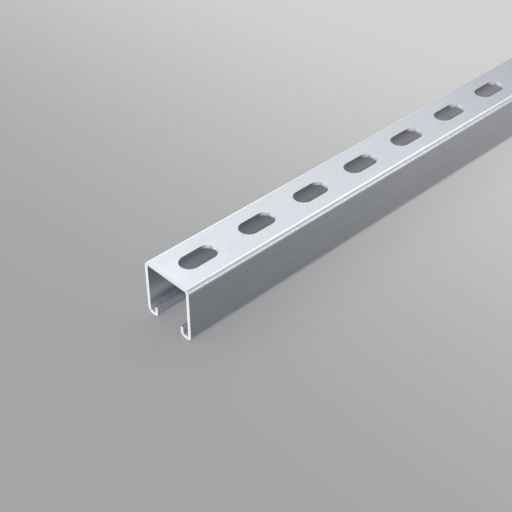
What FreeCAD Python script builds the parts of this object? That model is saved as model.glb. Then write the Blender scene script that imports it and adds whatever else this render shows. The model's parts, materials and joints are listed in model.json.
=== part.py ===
import FreeCAD, Part
import os

# Slotted channel rail for mounting solar modules: one strip of galvanised steel,
# punched with long holes and roll formed into an open box with two turned-in lips.
# It lies along X on its lips, with the slotted web on top. The origin is at the
# middle of its length and width, on the plane that the lips stand on.
# All sizes are in millimetres.

# Length of the stock and its outer section
rail_length = 1000.0
rail_width = 41.0
rail_height = 41.0

# Sheet, and the bends that the rollers leave in it
sheet_thickness = 2.5
bend_inner_radius = 1.0
slit_edge_radius = 0.4

# Open side: the mouth between the lips, and how far each lip turns back up
mouth_width = 22.0
lip_depth = 7.5

# Long holes in the web, the first measured from the end nearest the viewer
slot_length = 28.0
slot_width = 14.0
slot_pitch = 50.0
end_to_first_slot = 26.0
least_end_land = 5.0


def half_section():
    """Corners of the +Y half of the section as (y, z, corner radius), from the
    web's outer face down the wall, round the lip and back to the web's inner face."""
    bend_outer_radius = bend_inner_radius + sheet_thickness
    wall_outside = rail_width / 2
    wall_inside = wall_outside - sheet_thickness
    lip_outside = mouth_width / 2
    lip_inside = lip_outside + sheet_thickness
    return [
        (wall_outside, rail_height, bend_outer_radius),
        (wall_outside, 0.0, bend_outer_radius),
        (lip_outside, 0.0, bend_outer_radius),
        (lip_outside, lip_depth, slit_edge_radius),
        (lip_inside, lip_depth, slit_edge_radius),
        (lip_inside, sheet_thickness, bend_inner_radius),
        (wall_inside, sheet_thickness, bend_inner_radius),
        (wall_inside, rail_height - sheet_thickness, bend_inner_radius),
    ]


def rounded_outline(corners):
    """Closed wire through square corners given as (point, radius), each rounded."""
    edges = []
    starts = []
    ends = []
    for index, (point, radius) in enumerate(corners):
        before = corners[index - 1][0]
        after = corners[(index + 1) % len(corners)][0]
        arriving = (point - before).normalize()
        leaving = (after - point).normalize()
        start = point - arriving * radius
        end = point + leaving * radius
        centre = start + leaving * radius
        outwards = (arriving - leaving).normalize()
        edges.append(Part.Arc(start, centre + outwards * radius, end).toShape())
        starts.append(start)
        ends.append(end)
    for index, end in enumerate(ends):
        next_start = starts[(index + 1) % len(corners)]
        edges.append(Part.LineSegment(end, next_start).toShape())
    return Part.Wire(Part.__sortEdges__(edges))


def bare_channel():
    """The roll-formed channel before any hole is in it."""
    near_end = -rail_length / 2
    half = half_section()
    mirrored = [(-y, z, radius) for y, z, radius in reversed(half)]
    corners = [
        (FreeCAD.Vector(near_end, y, z), radius) for y, z, radius in half + mirrored
    ]
    section = Part.Face(rounded_outline(corners))
    return section.extrude(FreeCAD.Vector(rail_length, 0, 0))


def slot_centres():
    """X of each long hole, as many as leave a whole land at the far end."""
    first = -rail_length / 2 + end_to_first_slot
    last_allowed = rail_length / 2 - least_end_land - slot_length / 2
    count = int((last_allowed - first) // slot_pitch) + 1
    return [first + index * slot_pitch for index in range(count)]


def slot_punch(centre_x):
    """The tool for one long hole: two half rounds joined by straights, standing
    one sheet thickness past each face of the web."""
    radius = slot_width / 2
    straight = slot_length / 2 - radius
    bottom = rail_height - 2 * sheet_thickness
    edges = []
    for side in (-1, 1):
        middle = FreeCAD.Vector(centre_x + side * straight, 0, bottom)
        across = FreeCAD.Vector(0, radius * side, 0)
        along = FreeCAD.Vector(radius * side, 0, 0)
        edges.append(Part.Arc(middle - across, middle + along, middle + across).toShape())
        edges.append(
            Part.LineSegment(
                middle + across, middle + across - FreeCAD.Vector(2 * straight * side, 0, 0)
            ).toShape()
        )
    outline = Part.Wire(Part.__sortEdges__(edges))
    return Part.Face(outline).extrude(FreeCAD.Vector(0, 0, 3 * sheet_thickness))


def slotted_channel():
    """The finished rail: one solid."""
    punches = [slot_punch(x) for x in slot_centres()]
    rail = bare_channel().cut(punches)
    return rail.Solids[0]


os.makedirs("parts", exist_ok=True)
rail = slotted_channel()
rail.exportStep("parts/slotted_channel.step")

print("valid", rail.isValid(), "closed", rail.isClosed())
print("slots", len(slot_centres()), "first at", slot_centres()[0], "last at", slot_centres()[-1])
print("volume", round(rail.Volume, 1), "mm3, box", rail.BoundBox)
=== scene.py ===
import json
import math
import bpy
from mathutils import Matrix, Vector


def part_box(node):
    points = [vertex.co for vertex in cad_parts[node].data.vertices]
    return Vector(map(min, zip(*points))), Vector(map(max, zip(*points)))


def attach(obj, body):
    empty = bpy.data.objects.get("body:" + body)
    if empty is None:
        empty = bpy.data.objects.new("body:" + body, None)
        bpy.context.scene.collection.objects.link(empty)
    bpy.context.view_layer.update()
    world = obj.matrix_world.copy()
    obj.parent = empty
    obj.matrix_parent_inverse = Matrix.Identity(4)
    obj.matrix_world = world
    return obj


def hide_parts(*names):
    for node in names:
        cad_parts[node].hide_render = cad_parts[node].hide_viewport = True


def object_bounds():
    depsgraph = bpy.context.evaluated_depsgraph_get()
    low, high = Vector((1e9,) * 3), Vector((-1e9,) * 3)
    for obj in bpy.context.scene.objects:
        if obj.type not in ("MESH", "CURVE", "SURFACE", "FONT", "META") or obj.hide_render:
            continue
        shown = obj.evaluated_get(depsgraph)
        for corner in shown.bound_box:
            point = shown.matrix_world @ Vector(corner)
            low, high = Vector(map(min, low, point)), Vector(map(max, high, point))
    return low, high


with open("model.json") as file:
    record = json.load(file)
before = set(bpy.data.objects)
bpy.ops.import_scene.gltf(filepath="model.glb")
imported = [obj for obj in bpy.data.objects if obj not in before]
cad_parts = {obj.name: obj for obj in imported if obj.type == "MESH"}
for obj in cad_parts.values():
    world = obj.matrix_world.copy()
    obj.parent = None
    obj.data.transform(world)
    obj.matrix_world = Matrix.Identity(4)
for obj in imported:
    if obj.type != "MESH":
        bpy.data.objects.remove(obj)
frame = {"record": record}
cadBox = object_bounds()
mm = 0.001

# Solar mounting rail: a slotted channel, roll formed from one strip of zinc coated steel.
# The size and the row of slots come from the frame, the sheet and its bends are below.


class Link:  # an output that can stand in a sum
    def __init__(self, graph, socket):
        self.graph = graph
        self.socket = socket

    def also(self, name):  # another output of the same node
        return Link(self.graph, self.socket.node.outputs[name])

    def __add__(self, other):
        return self.graph.maths("ADD", self, other)

    def __radd__(self, other):
        return self.graph.maths("ADD", other, self)

    def __sub__(self, other):
        return self.graph.maths("SUBTRACT", self, other)

    def __rsub__(self, other):
        return self.graph.maths("SUBTRACT", other, self)

    def __mul__(self, other):
        return self.graph.maths("MULTIPLY", self, other)

    def __rmul__(self, other):
        return self.graph.maths("MULTIPLY", other, self)

    def __truediv__(self, other):
        return self.graph.maths("DIVIDE", self, other)

    def __rtruediv__(self, other):
        return self.graph.maths("DIVIDE", other, self)


class Graph:  # a node tree, written as expressions
    def __init__(self, tree):
        self.tree = tree
        tree.nodes.clear()

    def add(self, kind, settings=None, feeds=None, out=0):
        node = self.tree.nodes.new(kind)
        for key, value in (settings or {}).items():
            setattr(node, key, value)
        for key, value in (feeds or {}).items():
            for one in value if isinstance(value, list) else [value]:
                if isinstance(one, Link):
                    self.tree.links.new(one.socket, node.inputs[key])
                else:
                    node.inputs[key].default_value = one
        return Link(self, node.outputs[out]) if node.outputs else node

    def maths(self, operation, *values):
        return self.add("ShaderNodeMath", {"operation": operation}, dict(enumerate(values)))

    def vectors(self, operation, *values, out=0):
        return self.add("ShaderNodeVectorMath", {"operation": operation}, dict(enumerate(values)), out)

    def vector(self, x=0.0, y=0.0, z=0.0):
        return self.add("ShaderNodeCombineXYZ", None, {"X": x, "Y": y, "Z": z})

    def parts(self, vector):
        x = self.add("ShaderNodeSeparateXYZ", None, {"Vector": vector})
        return x, x.also("Y"), x.also("Z")

    def clamp(self, value, low, high):
        return self.add("ShaderNodeClamp", None, {"Value": value, "Min": low, "Max": high})

    def smooth(self, value, low, high, start=0.0, end=1.0):  # eases from start to end
        feeds = {"Value": value, "From Min": low, "From Max": high, "To Min": start, "To Max": end}
        return self.add("ShaderNodeMapRange", {"interpolation_type": "SMOOTHSTEP"}, feeds)

    def mix(self, share, first, second):  # of two colours
        return self.add("ShaderNodeMix", {"data_type": "RGBA"}, {0: share, 6: first, 7: second}, 2)

    def scale(self, vector, factor):
        return self.add("ShaderNodeVectorMath", {"operation": "SCALE"}, {0: vector, "Scale": factor})


# The rail's own sizes that the frame doesn't hold, in metres
railSizes = dict(
    sheet=2.5 * mm,
    innerBend=1.0 * mm,
    lipEdge=0.4 * mm,  # rounding of the strip's two slit edges
    mouth=22 * mm,
    lipDepth=7.5 * mm,
    bendSteps=12,
)

# What the punch and the saw leave
edgeSizes = dict(
    rollOver=0.2 * mm,  # where the punch entered
    breakOut=0.12 * mm,  # where it left
    ring=1.4 * mm,  # band of even faces round each slot
    panelEdge=3 * mm,  # flat sheet between a ring and the walls' piece of the section
    slotSteps=14,
    edgeSteps=4,
    sawBreak=0.18 * mm,  # edges of the two cut ends
    sawSteps=2,
    sawAngle=40,  # degrees: sharper edges are broken
    upright=0.3,  # a face whose normal points up less than this is a cut face
    weld=0.004 * mm,
)


def slotsFromFrame():
    mounts = {m["name"]: m for m in frame["record"]["mounts"]}
    openings = frame["record"]["physics"]["openings"]
    slots = [o for o in openings if o["name"].startswith("slot_")]
    pair = mounts["slots_1_2"]
    pitch = pair["dims"]["spacing_x_mm"] * mm
    return dict(
        count=len(slots),
        pitch=pitch,
        first=pair["pos_m"][0] - pitch / 2,
        length=pair["dims"]["slot_length_mm"] * mm,
        width=2 * pair["dims"]["hole_r_mm"] * mm,
    )


def sectionCorners(width, height, panelHalf):
    # +Y half of the section: (y, z, bend radius), from the web's top to its underside
    s = railSizes
    outer = s["innerBend"] + s["sheet"]
    lip = s["mouth"] / 2
    wall = width / 2
    return [
        (panelHalf, height, 0.0),
        (wall, height, outer),
        (wall, 0.0, outer),
        (lip, 0.0, outer),
        (lip, s["lipDepth"], s["lipEdge"]),
        (lip + s["sheet"], s["lipDepth"], s["lipEdge"]),
        (lip + s["sheet"], s["sheet"], s["innerBend"]),
        (wall - s["sheet"], s["sheet"], s["innerBend"]),
        (wall - s["sheet"], height - s["sheet"], s["innerBend"]),
        (panelHalf, height - s["sheet"], 0.0),
    ]


def sectionObject(width, height, panelHalf):
    corners = sectionCorners(width, height, panelHalf)
    mesh = bpy.data.meshes.new("slottedRail")
    edges = [(i, i + 1) for i in range(len(corners) - 1)]
    mesh.from_pydata([(y, z, 0.0) for y, z, _ in corners], edges, [])
    bend = mesh.attributes.new("bend", "FLOAT", "POINT")
    bend.data.foreach_set("value", [radius for _, _, radius in corners])
    rail = bpy.data.objects.new("slottedRail", mesh)
    bpy.context.scene.collection.objects.link(rail)
    return rail


def railTree():
    tree = bpy.data.node_groups.new("channelFromSection", "GeometryNodeTree")
    tree.is_modifier = True
    kinds = {"Section": "Geometry", "Sheet Finish": "Material", "Cut Finish": "Material"}
    sizes = ("Length", "Height", "Sheet", "Panel Half", "Slot Length", "Slot Width",
             "Slot Pitch", "First Slot", "Ring", "Roll Over", "Break Out")
    counts = ("Slot Count", "Bend Steps", "Slot Steps", "Edge Steps")
    kinds.update({name: "Float" for name in sizes})
    kinds.update({name: "Int" for name in counts})
    for name, kind in kinds.items():
        tree.interface.new_socket(name, in_out="INPUT", socket_type="NodeSocket" + kind)
    tree.interface.new_socket("Rail", in_out="OUTPUT", socket_type="NodeSocketGeometry")
    g = Graph(tree)
    given = g.add("NodeGroupInput", out="Section")
    length = given.also("Length")
    height = given.also("Height")
    sheet = given.also("Sheet")
    panelHalf = given.also("Panel Half")
    slotWidth = given.also("Slot Width")
    straight = (given.also("Slot Length") - slotWidth) / 2
    quarter = math.pi / 2

    def move(geometry, x=0.0, y=0.0, z=0.0, turn=(0, 0, 0), scale=(1, 1, 1)):
        place = g.vector(x, y, z)
        feeds = {"Geometry": geometry, "Translation": place, "Rotation": turn, "Scale": scale}
        return g.add("GeometryNodeTransform", None, feeds)

    def flip(mesh):
        return g.add("GeometryNodeFlipFaces", None, {"Mesh": mesh})

    def join(*geometry):
        return g.add("GeometryNodeJoinGeometry", None, {"Geometry": list(geometry)})

    def fillet(curve, count, radius):
        feeds = {"Curve": curve, "Count": count, "Radius": radius, "Limit Radius": True}
        return g.add("GeometryNodeFilletCurve", {"mode": "POLY"}, feeds)

    def markCut(mesh, where=True):
        feeds = {"Geometry": mesh, "Name": "cutFace", "Value": where}
        settings = {"data_type": "BOOLEAN", "domain": "FACE"}
        return g.add("GeometryNodeStoreNamedAttribute", settings, feeds)

    def slotOutline(grow):  # a slot's edge, or one a little larger
        feeds = {"Width": given.also("Slot Length") + 2 * grow, "Height": slotWidth + 2 * grow}
        box = g.add("GeometryNodeCurvePrimitiveQuadrilateral", None, feeds)
        return fillet(box, given.also("Slot Steps"), slotWidth / 2 + grow)

    def atEachSlot(geometry):
        start = g.vector(given.also("First Slot"))
        step = g.vector(given.also("Slot Pitch"))
        feeds = {"Count": given.also("Slot Count"), "Start Location": start, "Offset": step}
        places = g.add("GeometryNodeMeshLine", None, feeds)
        copies = g.add("GeometryNodeInstanceOnPoints", None, {"Points": places, "Instance": geometry})
        return g.add("GeometryNodeRealizeInstances", None, {"Geometry": copies})

    # Walls, bends and lips: the half section drawn out along the rail, with its two cut ends
    corners = g.add("GeometryNodeMeshToCurve", None, {"Mesh": given})
    radius = g.add("GeometryNodeInputNamedAttribute", {"data_type": "FLOAT"}, {"Name": "bend"})
    half = fillet(corners, given.also("Bend Steps"), radius)
    wire = g.add("GeometryNodeCurveToMesh", None, {"Curve": half})
    feeds = {"Mesh": wire, "Offset": g.vector(0.0, 0.0, length), "Offset Scale": 1.0}
    skin = g.add("GeometryNodeExtrudeMesh", {"mode": "EDGES"}, feeds)
    closed = g.add("GeometryNodeSetSplineCyclic", None, {"Geometry": half, "Cyclic": True})
    end = markCut(g.add("GeometryNodeFillCurve", {"mode": "NGONS"}, {"Curve": closed}))
    side = join(skin, flip(end), move(end, z=length))
    both = join(side, flip(move(side, scale=(-1, 1, 1))))
    walls = move(both, x=length / -2, turn=(quarter, 0, quarter))

    # The web's flat middle: a panel with the slots left out, above and below
    feeds = {"Width": length, "Height": panelHalf * 2}
    outline = g.add("GeometryNodeCurvePrimitiveQuadrilateral", None, feeds)
    ring = given.also("Ring")
    holes = atEachSlot(slotOutline(ring))
    panel = g.add("GeometryNodeFillCurve", {"mode": "TRIANGLES"}, {"Curve": join(outline, holes)})
    panels = join(move(panel, z=height), flip(move(panel, z=height - sheet)))
    feeds = {"Size X": sheet, "Size Y": panelHalf * 2, "Vertices X": 2, "Vertices Y": 2}
    endPlate = g.add("GeometryNodeMeshGrid", None, feeds)
    endPlate = markCut(move(endPlate, turn=(0, quarter, 0)))
    middle = height - sheet / 2
    plates = join(move(endPlate, x=length / 2, z=middle), flip(move(endPlate, x=length / -2, z=middle)))

    # Each slot's wall, with its rolled edge above and its break below: a grid laid round the slot
    edge = g.add("GeometryNodeCurvePrimitiveQuadrilateral", {"mode": "POINTS"}, {
        "Point 1": g.vector(ring, height),
        "Point 2": g.vector(0.0, height),
        "Point 3": g.vector(0.0, height - sheet),
        "Point 4": g.vector(ring, height - sheet),
    })
    edge = g.add("GeometryNodeSetSplineCyclic", None, {"Geometry": edge, "Cyclic": False})
    number = g.add("GeometryNodeInputIndex")
    upper = g.maths("COMPARE", number, 1.0, 0.1)  # the profile's second point
    lower = g.maths("COMPARE", number, 2.0, 0.1)
    rounding = upper * given.also("Roll Over") + lower * given.also("Break Out")
    edge = fillet(edge, given.also("Edge Steps"), rounding)
    around = (given.also("Slot Steps") + 1) * 4
    down = (given.also("Edge Steps") + 1) * 2 + 2
    grid = g.add("GeometryNodeMeshGrid", None, {"Vertices X": around + 1, "Vertices Y": down})
    place = g.add("GeometryNodeInputPosition")

    def sample(curve, index):
        feeds = {"Geometry": curve, "Value": place, "Index": index}
        return g.add("GeometryNodeSampleIndex", {"data_type": "FLOAT_VECTOR"}, feeds)

    column = g.maths("FLOOR", (number + 0.5) / down)
    rim = sample(slotOutline(0.0), g.maths("MODULO", column, around))
    depth = sample(edge, number - column * down)
    rimX, rimY, _ = g.parts(rim)
    out, up, _ = g.parts(depth)
    centre = g.vector(g.clamp(rimX, straight * -1, straight))
    outwards = g.vectors("NORMALIZE", g.vectors("SUBTRACT", rim, centre))
    reach = g.scale(outwards, slotWidth / 2 + out)
    point = g.vectors("ADD", g.vectors("ADD", centre, reach), g.vector(0.0, 0.0, up))
    rolled = g.add("GeometryNodeSetPosition", None, {"Geometry": grid, "Position": point})
    normal = g.add("GeometryNodeInputNormal")
    upright = g.maths("LESS_THAN", g.maths("ABSOLUTE", g.parts(normal)[2]), edgeSizes["upright"])
    slotEdges = atEachSlot(markCut(rolled, upright))

    whole = join(walls, panels, plates, slotEdges)
    feeds = {"Geometry": whole, "Distance": edgeSizes["weld"]}
    whole = g.add("GeometryNodeMergeByDistance", None, feeds)
    whole = g.add("GeometryNodeSetShadeSmooth", None, {"Geometry": whole})
    whole = g.add("GeometryNodeRealizeInstances", None, {"Geometry": whole})
    feeds = {"Geometry": whole, "Material": given.also("Sheet Finish")}
    whole = g.add("GeometryNodeSetMaterial", None, feeds)
    cut = g.add("GeometryNodeInputNamedAttribute", {"data_type": "BOOLEAN"}, {"Name": "cutFace"})
    feeds = {"Geometry": whole, "Selection": cut, "Material": given.also("Cut Finish")}
    whole = g.add("GeometryNodeSetMaterial", None, feeds)
    g.add("NodeGroupOutput", None, {"Rail": whole})
    return tree


def makeRail(sheetFinish, cutFinish):
    low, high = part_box("slotted_channel")
    slots = slotsFromFrame()
    panelHalf = slots["width"] / 2 + edgeSizes["ring"] + edgeSizes["panelEdge"]
    rail = sectionObject(high.y - low.y, high.z - low.z, panelHalf)
    tree = railTree()
    modifier = rail.modifiers.new("channel", "NODES")
    modifier.node_group = tree
    values = {
        "Length": high.x - low.x,
        "Height": high.z - low.z,
        "Sheet": railSizes["sheet"],
        "Panel Half": panelHalf,
        "Slot Length": slots["length"],
        "Slot Width": slots["width"],
        "Slot Pitch": slots["pitch"],
        "First Slot": slots["first"],
        "Slot Count": slots["count"],
        "Ring": edgeSizes["ring"],
        "Roll Over": edgeSizes["rollOver"],
        "Break Out": edgeSizes["breakOut"],
        "Bend Steps": railSizes["bendSteps"],
        "Slot Steps": edgeSizes["slotSteps"],
        "Edge Steps": edgeSizes["edgeSteps"],
        "Sheet Finish": sheetFinish,
        "Cut Finish": cutFinish,
    }
    for item in tree.interface.items_tree:
        if item.in_out == "INPUT" and item.name in values:
            modifier[item.identifier] = values[item.name]
    bevel = rail.modifiers.new("sawnEdges", "BEVEL")
    bevel.width = edgeSizes["sawBreak"]
    bevel.segments = edgeSizes["sawSteps"]
    bevel.limit_method = "ANGLE"
    bevel.angle_limit = math.radians(edgeSizes["sawAngle"])
    bevel.use_clamp_overlap = False
    weighted = rail.modifiers.new("flatFaces", "WEIGHTED_NORMAL")
    weighted.keep_sharp = False
    evaluated = rail.evaluated_get(bpy.context.evaluated_depsgraph_get())
    shaped = bpy.data.meshes.new_from_object(evaluated)
    rail.modifiers.clear()
    rail.data = shaped
    shaped.name = "slottedRail"
    for index in reversed(range(len(shaped.materials))):
        if shaped.materials[index] is None:  # the section's own empty slot
            shaped.materials.pop(index=index)
    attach(rail, "root")
    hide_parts("slotted_channel")
    print("rail:", slots["count"], "slots,", len(shaped.polygons), "faces")


def newMaterial(name):
    material = bpy.data.materials.new(name)
    material.use_nodes = True
    return material, Graph(material.node_tree)


# The zinc coat as it leaves the rolls: faint lines along the strip, soft clouds, small dull crystals
zincLook = dict(
    outside=(0.462, 0.481, 0.513),
    # painted light: the hollow's coat is much lighter than the outside's
    inside=(0.75, 0.776, 0.812),
    innerEdge=0.3 * mm,  # how softly inside and outside meet
    bends=(0.66, 0.675, 0.70),  # painted highlight: the bends' coat is lighter, so their bright bands show wider
    farBendHighlight=(0.88, 0.895, 0.92),  # painted highlight on the far top bend by the ends, the brightest
    farBendEdge=1 * mm,
    farBendReach=115 * mm,
    farBendFade=85 * mm,
    bendStart=0.85,  # where the bends' painted highlight and rougher coat begin, in bend radii from the side
    bendStartEdge=0.4 * mm,
    bendEdge=0.5 * mm,
    lipBend=0.6,  # how high it reaches round the lips, in bend radii
    lipBendEdge=0.8 * mm,
    hollowShade=(0.38, 0.396, 0.424),  # painted shade in the hollow, all of it by the web
    shadeAbove=24 * mm,
    shadeEdge=8 * mm,
    shadeDrop=6 * mm,  # how much lower it reaches by the open ends
    openEnd=22 * mm,
    endTone=0.1,  # painted shade: how much darker the coat is there, by the web
    endToneAbove=16 * mm,
    endToneEdge=3 * mm,
    shadeLine=9.3 * mm,  # height of a thinner line of painted shade over the lips
    shadeLineHalf=1.5 * mm,  # half its height
    shadeLineFoot=1 * mm,  # how softly it ends below
    shadeLineShare=0.5,
    shadeLip=0.62,  # how much of the painted shade is on the lips
    besideLip=0.6 * mm,  # how far past the lips that reaches
    overLip=1 * mm,
    overLipEdge=0.5 * mm,
    roughOutside=0.29,
    roughInside=0.26,
    roughBends=0.37,
    roughLeast=0.12,
    roughMost=0.7,
    dullInside=0.36,  # share of the coat inside that has gone matt
    lineWidth=0.9 * mm,
    lineLength=160 * mm,
    bandWidth=6.3 * mm,
    bandLength=320 * mm,
    lineTone=0.055,
    lineRough=0.10,
    lineHeight=0.5,
    bandHeight=0.4,
    cloud=34 * mm,
    cloudTone=0.035,
    cloudRough=0.10,
    crystal=5.5 * mm,
    crystalTone=0.015,
    grain=0.45 * mm,
    grainLength=1.35 * mm,
    grainRough=0.04,
    grainHeight=0.07,
    smoothInside=0.9,  # how much of the grain is missing in the hollow
    calmInside=0.55,  # and how much of the lines
    bump=0.5,
    relief=0.012 * mm,
)


def lowHalf(g, value, edge, width):  # 1 under the edge, 0 over it
    return g.smooth(value, edge - width, edge + width, 1.0, 0.0)


def highHalf(g, value, edge, width):
    return g.smooth(value, edge - width, edge + width)


def scaled(g, place, x, y, z):
    return g.vectors("MULTIPLY", place, g.vector(1 / x, 1 / y, 1 / z))


def noise(g, place, detail=2.0, roughness=0.5):
    feeds = {"Vector": place, "Scale": 1.0, "Detail": detail, "Roughness": roughness}
    return g.add("ShaderNodeTexNoise", None, feeds)


def zincSheet():
    material, g = newMaterial("zincSheet")
    _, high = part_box("slotted_channel")
    look = zincLook
    s = railSizes
    bend = s["innerBend"] + s["sheet"]
    lip = s["mouth"] / 2
    place = g.add("ShaderNodeTexCoord", out="Object")
    x, y, z = g.parts(place)
    along = g.maths("ABSOLUTE", x)
    across = g.maths("ABSOLUTE", y)

    # where on the section: in the hollow, or on an outer bend
    within = lowHalf(g, across, high.y - s["sheet"] / 2, look["innerEdge"])
    within = within * lowHalf(g, z, high.z - s["sheet"] / 2, look["innerEdge"])
    inside = within * highHalf(g, z, s["sheet"] / 2, look["innerEdge"])
    corner = highHalf(g, across, high.y - bend * look["bendStart"], look["bendStartEdge"])
    topBend = highHalf(g, z, high.z - bend, look["bendEdge"])
    lowBend = lowHalf(g, z, bend, look["bendEdge"])
    lipBend = lowHalf(g, across, lip + bend, look["bendEdge"])
    lipBend = lipBend * lowHalf(g, z, bend * look["lipBend"], look["lipBendEdge"])
    onBend = g.clamp(corner * (topBend + lowBend) + lipBend, 0.0, 1.0)

    # what the rolls and the zinc bath leave
    lines = scaled(g, place, look["lineLength"], look["lineWidth"], look["lineWidth"])
    lines = noise(g, lines, detail=3.0, roughness=0.6)
    bands = scaled(g, place, look["bandLength"], look["bandWidth"], look["bandWidth"])
    bands = noise(g, bands, detail=1.0)
    cloud = scaled(g, place, look["cloud"], look["cloud"] / 2, look["cloud"] / 2)
    cloud = noise(g, cloud, detail=3.0)
    cells = scaled(g, place, look["crystal"], look["crystal"], look["crystal"])
    crystal = g.add("ShaderNodeTexVoronoi", {"feature": "F1"}, {"Vector": cells, "Scale": 1.0}, "Color")
    crystal = g.parts(crystal)[0] - 0.5
    grain = noise(g, scaled(g, place, look["grainLength"], look["grain"], look["grain"]))
    calm = 1 - inside * look["calmInside"]
    lines = (lines - 0.5) * calm
    bands = (bands - 0.5) * calm
    cloud = cloud - 0.5
    grain = (grain - 0.5) * (1 - inside * look["smoothInside"])

    # painted shade in the hollow: under the web, over the lips, and lower by the open ends
    openEnd = highHalf(g, along, high.x - look["openEnd"], look["openEnd"] / 2)
    above = highHalf(g, z + openEnd * look["shadeDrop"], look["shadeAbove"], look["shadeEdge"])
    line = lowHalf(g, z, look["shadeLine"] + look["shadeLineHalf"], look["shadeLineHalf"])
    line = line * highHalf(g, z, look["shadeLine"] - look["shadeLineHalf"], look["shadeLineFoot"])
    onLip = lowHalf(g, across, lip + s["sheet"] + look["besideLip"], look["innerEdge"])
    onLip = onLip * lowHalf(g, z, s["lipDepth"] + look["overLip"], look["overLipEdge"])
    below = g.maths("MAXIMUM", line * look["shadeLineShare"], onLip * look["shadeLip"])
    shaded = g.maths("MAXIMUM", above, below)
    endShade = inside * openEnd * highHalf(g, z, look["endToneAbove"], look["endToneEdge"])

    tone = 1.0 + (lines + bands) * look["lineTone"] * 2
    tone = tone + cloud * look["cloudTone"] * 2 + crystal * look["crystalTone"] * 2
    tone = tone - endShade * look["endTone"]
    # the hollow's painted light, with painted shade over it
    hollow = g.mix(shaded, (*look["inside"], 1), (*look["hollowShade"], 1))
    colour = g.mix(inside, (*look["outside"], 1), hollow)
    # painted highlight on the far top bend, by the ends
    farTopHighlight = highHalf(g, y, high.y / 2, look["farBendEdge"])
    farTopHighlight = farTopHighlight * highHalf(g, z, high.z / 2, look["farBendEdge"])
    farTopHighlight = farTopHighlight * highHalf(g, along, high.x - look["farBendReach"], look["farBendFade"])
    # painted highlight on the bends, lightest on the far top bend by the ends
    bends = g.mix(farTopHighlight, (*look["bends"], 1), (*look["farBendHighlight"], 1))
    colour = g.mix(onBend, colour, bends)
    colour = g.scale(colour, tone)
    roughness = look["roughOutside"] + inside * (look["roughInside"] - look["roughOutside"])
    roughness = roughness + onBend * (look["roughBends"] - look["roughOutside"])
    roughness = roughness + lines * look["lineRough"] + cloud * look["cloudRough"]
    roughness = roughness + grain * look["grainRough"]
    height = lines * look["lineHeight"] + bands * look["bandHeight"] + grain * look["grainHeight"]
    feeds = {"Height": height, "Strength": look["bump"], "Distance": look["relief"]}
    normal = g.add("ShaderNodeBump", None, feeds)
    shader = g.add("ShaderNodeBsdfPrincipled", None, {
        "Base Color": colour,
        "Metallic": 1.0 - inside * look["dullInside"],
        "Roughness": g.clamp(roughness, look["roughLeast"], look["roughMost"]),
        "Normal": normal,
    })
    g.add("ShaderNodeOutputMaterial", None, {"Surface": shader})
    return material


# Bare steel: fine lines on the two sawn ends. In the slots a smooth band lies under the punch's edge
# and grain below it, and each slot's far end is torn and bright: a torn finish is real, its brightness
# on that end only is painted light.
cutLook = dict(
    sawn=(0.93, 0.935, 0.945),
    # partly painted light: the torn far end of each slot is light and dull
    torn=(0.9, 0.91, 0.93),
    burnished=(0.62, 0.63, 0.65),
    sawnReach=2 * mm,
    sawnEdge=0.5 * mm,
    sawLine=0.35 * mm,
    sawSlant=(0.0, 0.34, 0.94),  # square to the lines
    sawDrift=12.0,  # how the lines change over the width
    sawTone=0.07,
    webDarker=0.13,  # the top of each sawn end, across the web, a little darker than the walls' ends
    webReach=1.1,  # down from the top, in sheets
    webEdge=0.4 * mm,
    tornStart=0.2,  # past the straight sides; the six from here are in slot widths
    tornEdge=0.16,
    # painted highlight at the middle of each slot's far end
    tip=0.13,
    tipEdge=0.05,
    besideTip=(0.15, 0.28),  # two darker patches beside the bright tip
    besideEdge=0.04,
    tipTone=0.08,
    besideTone=0.28,
    punchDepth=0.42,  # of the sheet
    punchEdge=0.07,
    punchTone=0.12,
    punchShine=0.5,
    underTone=0.05,  # how much darker it is under the band
    wander=3 * mm,  # of the band's lower edge
    wanderLength=60 * mm,
    wanderDepth=0.3,
    grain=0.22 * mm,
    grainTone=0.10,
    grainRough=0.12,
    streak=0.308 * mm,
    streakLength=6 * mm,
    streakHeight=0.4,
    bump=0.6,
    relief=0.02 * mm,
    metalTorn=0.12,
    metalBurnished=0.97,
    roughSawn=0.46,
    roughTorn=0.55,
    roughBurnished=0.42,
)


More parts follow.
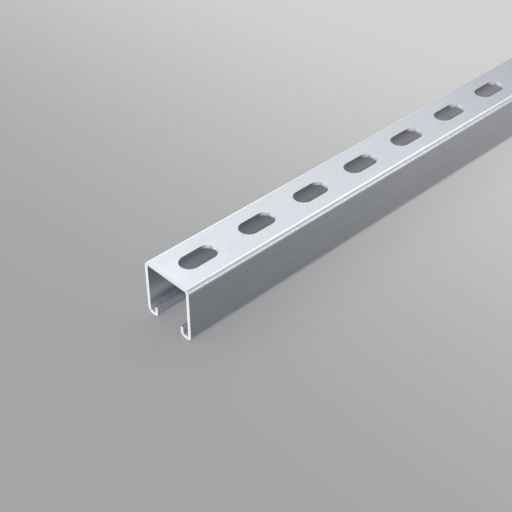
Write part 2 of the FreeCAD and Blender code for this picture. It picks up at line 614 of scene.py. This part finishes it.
def cutSteel():
    material, g = newMaterial("cutSteel")
    _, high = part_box("slotted_channel")
    slots = slotsFromFrame()
    look = cutLook
    sheet = railSizes["sheet"]
    place = g.add("ShaderNodeTexCoord", out="Object")
    x, y, z = g.parts(place)
    atEnd = highHalf(g, g.maths("ABSOLUTE", x), high.x - look["sawnReach"], look["sawnEdge"])
    inSlot = 1 - atEnd

    # along each slot, from its middle: burnished all round but for the far end, which is torn; its
    # brightness there is painted light
    turn = g.maths("FRACT", (x - slots["first"]) / slots["pitch"] + 0.5)
    fromMiddle = (turn - 0.5) * slots["pitch"]
    straight = (slots["length"] - slots["width"]) / 2
    width = slots["width"]
    longSide = lowHalf(g, fromMiddle, straight + width * look["tornStart"], width * look["tornEdge"])
    longSide = longSide * inSlot
    across = g.maths("ABSOLUTE", y) / width
    tip = lowHalf(g, across, look["tip"], look["tipEdge"])
    besideFrom, besideTo = look["besideTip"]
    besideTip = highHalf(g, across, besideFrom, look["besideEdge"])
    besideTip = besideTip * lowHalf(g, across, besideTo, look["tipEdge"])

    wander = noise(g, scaled(g, place, look["wander"], look["wander"], look["wanderLength"]))
    depth = (high.z - z) / sheet + (wander - 0.5) * look["wanderDepth"]
    underPunch = lowHalf(g, depth, look["punchDepth"], look["punchEdge"]) * inSlot
    grain = scaled(g, place, look["grain"], look["grain"], look["grain"])
    grain = noise(g, grain, detail=3.0, roughness=0.6)
    streaks = noise(g, scaled(g, place, look["streak"], look["streak"], look["streakLength"]))
    slant = g.vectors("DOT_PRODUCT", place, look["sawSlant"], out="Value")
    saw = g.vector(0.0, y * look["sawDrift"], slant / look["sawLine"])
    saw = noise(g, saw, detail=3.0, roughness=0.65)

    colour = g.mix(longSide, (*look["torn"], 1), (*look["burnished"], 1))
    colour = g.mix(atEnd, colour, (*look["sawn"], 1))
    tone = 1.0 + (saw - 0.5) * atEnd * look["sawTone"] * 2 + (grain - 0.5) * look["grainTone"]
    band = (streaks - 0.5) * underPunch * look["punchTone"]
    tone = tone + inSlot * (band - (1 - underPunch) * look["underTone"])
    # painted highlight at the tip, darker patches beside it
    tone = tone + inSlot * (tip * look["tipTone"] - besideTip * look["besideTone"])
    webEnd = highHalf(g, z, high.z - sheet * look["webReach"], look["webEdge"]) * atEnd
    tone = tone - webEnd * look["webDarker"]
    colour = g.scale(colour, tone)
    shine = g.maths("MAXIMUM", longSide, underPunch * look["punchShine"])
    roughness = look["roughTorn"] + atEnd * (look["roughSawn"] - look["roughTorn"])
    roughness = roughness - shine * (look["roughTorn"] - look["roughBurnished"])
    roughness = roughness + (grain - 0.5) * look["grainRough"]
    height = streaks * underPunch * look["streakHeight"] + grain * (1 - underPunch)
    height = saw * atEnd + inSlot * height
    feeds = {"Height": height, "Strength": look["bump"], "Distance": look["relief"]}
    normal = g.add("ShaderNodeBump", None, feeds)
    shader = g.add("ShaderNodeBsdfPrincipled", None, {
        "Base Color": colour,
        "Metallic": look["metalTorn"] + longSide * (look["metalBurnished"] - look["metalTorn"]),
        "Roughness": roughness,
        "Normal": normal,
    })
    g.add("ShaderNodeOutputMaterial", None, {"Surface": shader})
    return material


# Where the lamps hang: azimuth from +X towards +Y, elevation, distance, width, height and glow.
# A spread is given where a grid in front keeps the lamp's light from the sides.
lamps = dict(
    backBox=dict(azimuth=43, elevation=43, distance=2.2, width=1.2, height=1.2, glow=0.97),
    sideBox=dict(azimuth=80, elevation=50, distance=2.2, width=1.2, height=1.2, glow=1.48),
    edgeBox=dict(azimuth=5, elevation=53, distance=2.2, width=0.8, height=1.3, glow=1.6),
    rimBox=dict(azimuth=64, elevation=10, distance=4.6, width=3.3, height=1.25, glow=1.3, spread=110),
    hiddenBox=dict(azimuth=100, elevation=16, distance=4.6, width=3.3, height=1.9, glow=0.5, spread=110),
    frontBox=dict(azimuth=-57, elevation=6, distance=4.6, width=2.9, height=0.95, glow=2.3, spread=110),
    farBox=dict(azimuth=-4, elevation=15, distance=4.6, width=3.2, height=1.6, glow=0.9, spread=110),
    endBox=dict(azimuth=176, elevation=40, distance=4.6, width=8.8, height=4.2, glow=1.45),
)

# The floor is pale paper, with painted shade by the rail's near end: darker there and paler again behind
# it
studio = dict(
    floor=(0.62, 0.625, 0.63),
    floorRough=0.9,
    floorSpecular=0.1,
    paperNear=(0.262, 0.268, 0.273),
    paperFar=(0.625, 0.613, 0.61),
    paperShare=0.78,  # how much of the paper's tone is its own, and not taken by shadows
    fadeStart=0.08,  # before the near end
    fadeLength=0.54,
    paleBehind=3.6,  # pale again from this far behind that start
    darkBehind=0.4,  # and dark nearer than this
    underShadow=0.95,  # how much of the share is gone under the rail
    underEnd=45 * mm,  # how far in from the rail's ends that begins
    underEndEdge=30 * mm,
    underSide=3 * mm,
    floorSize=60.0,
    aim=(0.15, 0.0, 0.03),  # of the lamps, from the near end's foot
    world=(0.64, 0.645, 0.655),
)

# The camera of the photograph, from a fit to the rail's edges
shot = dict(
    place=(-785.4 * mm, -374.5 * mm, 428.7 * mm),
    yaw=46.086,  # heading from +X towards +Y
    pitch=38.541,  # below level
    roll=-0.056,
    focal=1011.187,  # in pixels of a 512 pixel picture
    picture=512,
    sensor=36.0,
    clip=10 * mm,
)


def hangLamp(name, aim, azimuth, elevation, distance, width, height, glow, spread=180):
    data = bpy.data.lights.new(name, "AREA")
    data.shape = "RECTANGLE"
    data.size = width
    data.size_y = height
    data.spread = math.radians(spread)
    data.energy = glow * math.pi * width * height
    if spread < 180:  # a grid makes Blender's lamp brighter straight on
        half = data.spread / 2
        data.energy *= 1 - half / math.tan(half)
    lamp = bpy.data.objects.new(name, data)
    a = math.radians(azimuth)
    e = math.radians(elevation)
    back = Vector((math.cos(a) * math.cos(e), math.sin(a) * math.cos(e), math.sin(e)))
    lamp.location = aim + back * distance
    lamp.rotation_euler = back.to_track_quat("Z", "Y").to_euler()
    bpy.context.scene.collection.objects.link(lamp)


def makeStudio():
    mesh = bpy.data.meshes.new("floor")
    reach = studio["floorSize"] / 2
    corners = [(-reach, -reach, 0), (reach, -reach, 0), (reach, reach, 0), (-reach, reach, 0)]
    mesh.from_pydata(corners, [], [(0, 1, 2, 3)])
    floor = bpy.data.objects.new("floor", mesh)
    bpy.context.scene.collection.objects.link(floor)
    material, g = newMaterial("paperFloor")
    paper = g.add("ShaderNodeBsdfPrincipled", None, {
        "Base Color": (*studio["floor"], 1),
        "Roughness": studio["floorRough"],
        "Specular IOR Level": studio["floorSpecular"],
    })
    along, across, _ = g.parts(g.add("ShaderNodeTexCoord", out="Object"))
    low, high = cadBox
    # painted shade on the floor by the rail's near end
    near = low.x - studio["fadeStart"]
    fade = g.smooth(along, near, near + studio["fadeLength"])
    fade = fade + g.smooth(along, near - studio["paleBehind"], near - studio["darkBehind"], 1.0, 0.0)
    tone = g.mix(fade, (*studio["paperNear"], 1), (*studio["paperFar"], 1))
    backdrop = g.add("ShaderNodeEmission", None, {"Color": tone, "Strength": 1.0})
    ray = g.add("ShaderNodeLightPath", out="Is Camera Ray")
    seen = g.maths("MAXIMUM", ray.also("Is Glossy Ray"), ray.also("Is Transmission Ray"))
    seen = g.maths("MAXIMUM", ray, seen)
    # under the rail the camera sees the paper with its full shadow
    along = g.maths("ABSOLUTE", along)
    across = g.maths("ABSOLUTE", across)
    under = lowHalf(g, along, high.x - studio["underEnd"], studio["underEndEdge"])
    under = under * lowHalf(g, across, high.y - studio["underSide"], studio["underSide"])
    share = seen * studio["paperShare"] * (1 - ray * under * studio["underShadow"])
    surface = g.add("ShaderNodeMixShader", None, {0: share, 1: paper, 2: backdrop})
    g.add("ShaderNodeOutputMaterial", None, {"Surface": surface})
    mesh.materials.append(material)
    world = bpy.data.worlds.new("studio")
    bpy.context.scene.world = world
    world.use_nodes = True
    w = Graph(world.node_tree)
    sky = w.add("ShaderNodeBackground", None, {"Color": (*studio["world"], 1), "Strength": 1.0})
    w.add("ShaderNodeOutputWorld", None, {"Surface": sky})
    aim = Vector((low.x, 0.0, 0.0)) + Vector(studio["aim"])
    for name, lamp in lamps.items():
        hangLamp(name, aim, **lamp)
    print("studio:", len(lamps), "lamps")


def makeCamera():
    data = bpy.data.cameras.new("camera")
    data.sensor_width = shot["sensor"]
    data.lens = shot["focal"] / shot["picture"] * shot["sensor"]
    data.clip_start = shot["clip"]
    camera = bpy.data.objects.new("camera", data)
    bpy.context.scene.collection.objects.link(camera)
    yaw = math.radians(shot["yaw"])
    pitch = math.radians(shot["pitch"])
    ahead = Vector((math.cos(pitch) * math.cos(yaw), math.cos(pitch) * math.sin(yaw), -math.sin(pitch)))
    right = Vector((math.sin(yaw), -math.cos(yaw), 0.0))
    up = right.cross(ahead)
    turn = Matrix((right, up, -ahead)).transposed() @ Matrix.Rotation(math.radians(shot["roll"]), 3, "Z")
    camera.rotation_euler = turn.to_euler()
    camera.location = shot["place"]
    bpy.context.scene.camera = camera


bpy.context.scene.view_settings.view_transform = "Standard"
makeRail(zincSheet(), cutSteel())
makeStudio()
makeCamera()
